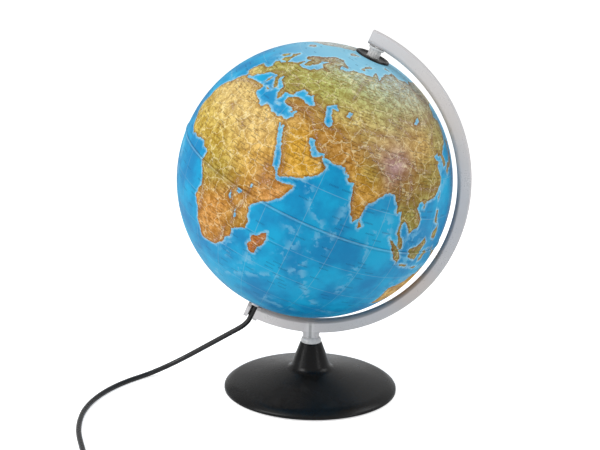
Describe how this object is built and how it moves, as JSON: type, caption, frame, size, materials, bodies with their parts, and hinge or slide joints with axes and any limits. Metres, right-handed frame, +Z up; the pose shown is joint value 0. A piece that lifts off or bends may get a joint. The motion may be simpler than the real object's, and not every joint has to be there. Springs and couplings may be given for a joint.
{
  "type": "globe_lamp",
  "caption": "Illuminated desktop world globe on a tilted clear grey C arm, with a round black base and a mains lead with in-line switch",
  "frame": {"origin": "centre of the base's underside, on the surface that the object stands on", "axes": "+Z up; the arm lies in the XZ plane and the globe's north pole leans towards +X; -Y is the front"},
  "size_m": [0.3983, 0.4757, 0.4076],
  "materials": {
    "globe_print": "printed relief map under a satin coat",
    "arm_plastic": "translucent light grey, satin",
    "clear_plastic": "clear moulded plastic",
    "black_plastic": "fine satin texture",
    "white_plastic": "plain moulded",
    "zinc_steel": "bright zinc plated",
    "raw_steel": "plain rolled",
    "pad_rubber": "fine grain",
    "brass": "drawn, slightly dull",
    "bulb_glass": "frosted",
    "filament_steel": "thin wire",
    "lead_sheath": "soft PVC, slightly glossy",
    "tie_fabric": "woven hook tie"
  },
  "bodies": {
    "stand": {"meridian_arm": "arm_plastic", "north_pivot_pin": "clear_plastic", "south_pivot_tube": "zinc_steel", "tube_nut": "zinc_steel", "ribbed_ring": "clear_plastic", "base_shell": "black_plastic", "ballast_plate": "raw_steel", "base_cover": "black_plastic", "base_pad": "pad_rubber", "tie_screw": "zinc_steel", "tie_washer": "zinc_steel", "cover_screws": "zinc_steel", "lamp_holder_base": "white_plastic", "lamp_holder_shell": "white_plastic", "lamp_thread_sleeve": "brass", "centre_contact": "brass", "bulb_cap": "brass", "bulb_glass": "bulb_glass", "bulb_filament": "filament_steel", "lamp_wires": "lead_sheath", "cord_boot": "lead_sheath", "lead_inner": "lead_sheath", "mains_lead": "lead_sheath", "switch_body_lower": "black_plastic", "switch_body_upper": "black_plastic", "switch_screws": "zinc_steel", "lead_link": "lead_sheath", "lead_coil": "lead_sheath", "coil_tie": "tie_fabric", "lead_tail": "lead_sheath", "plug_body": "black_plastic", "plug_pins": "brass"},
    "globe": {"north_shell": "globe_print", "south_shell": "globe_print", "equator_joint_ring": "clear_plastic", "north_pole_cap": "black_plastic", "north_pole_bush": "white_plastic", "south_collar": "white_plastic"},
    "rocker": {"switch_rocker": "black_plastic"}
  },
  "joints": [
    {"name": "globe_spin", "type": "hinge", "parent": "stand", "child": "globe", "pos_m": [0, 0, 0.242], "axis": [0.3987, 0, 0.9171], "continuous": true},
    {"name": "switch_rock", "type": "hinge", "parent": "stand", "child": "rocker", "pos_m": [-0.062, -0.286, 0.0106], "axis": [0, -1, 0], "range_deg": [0, 16]}
  ]
}
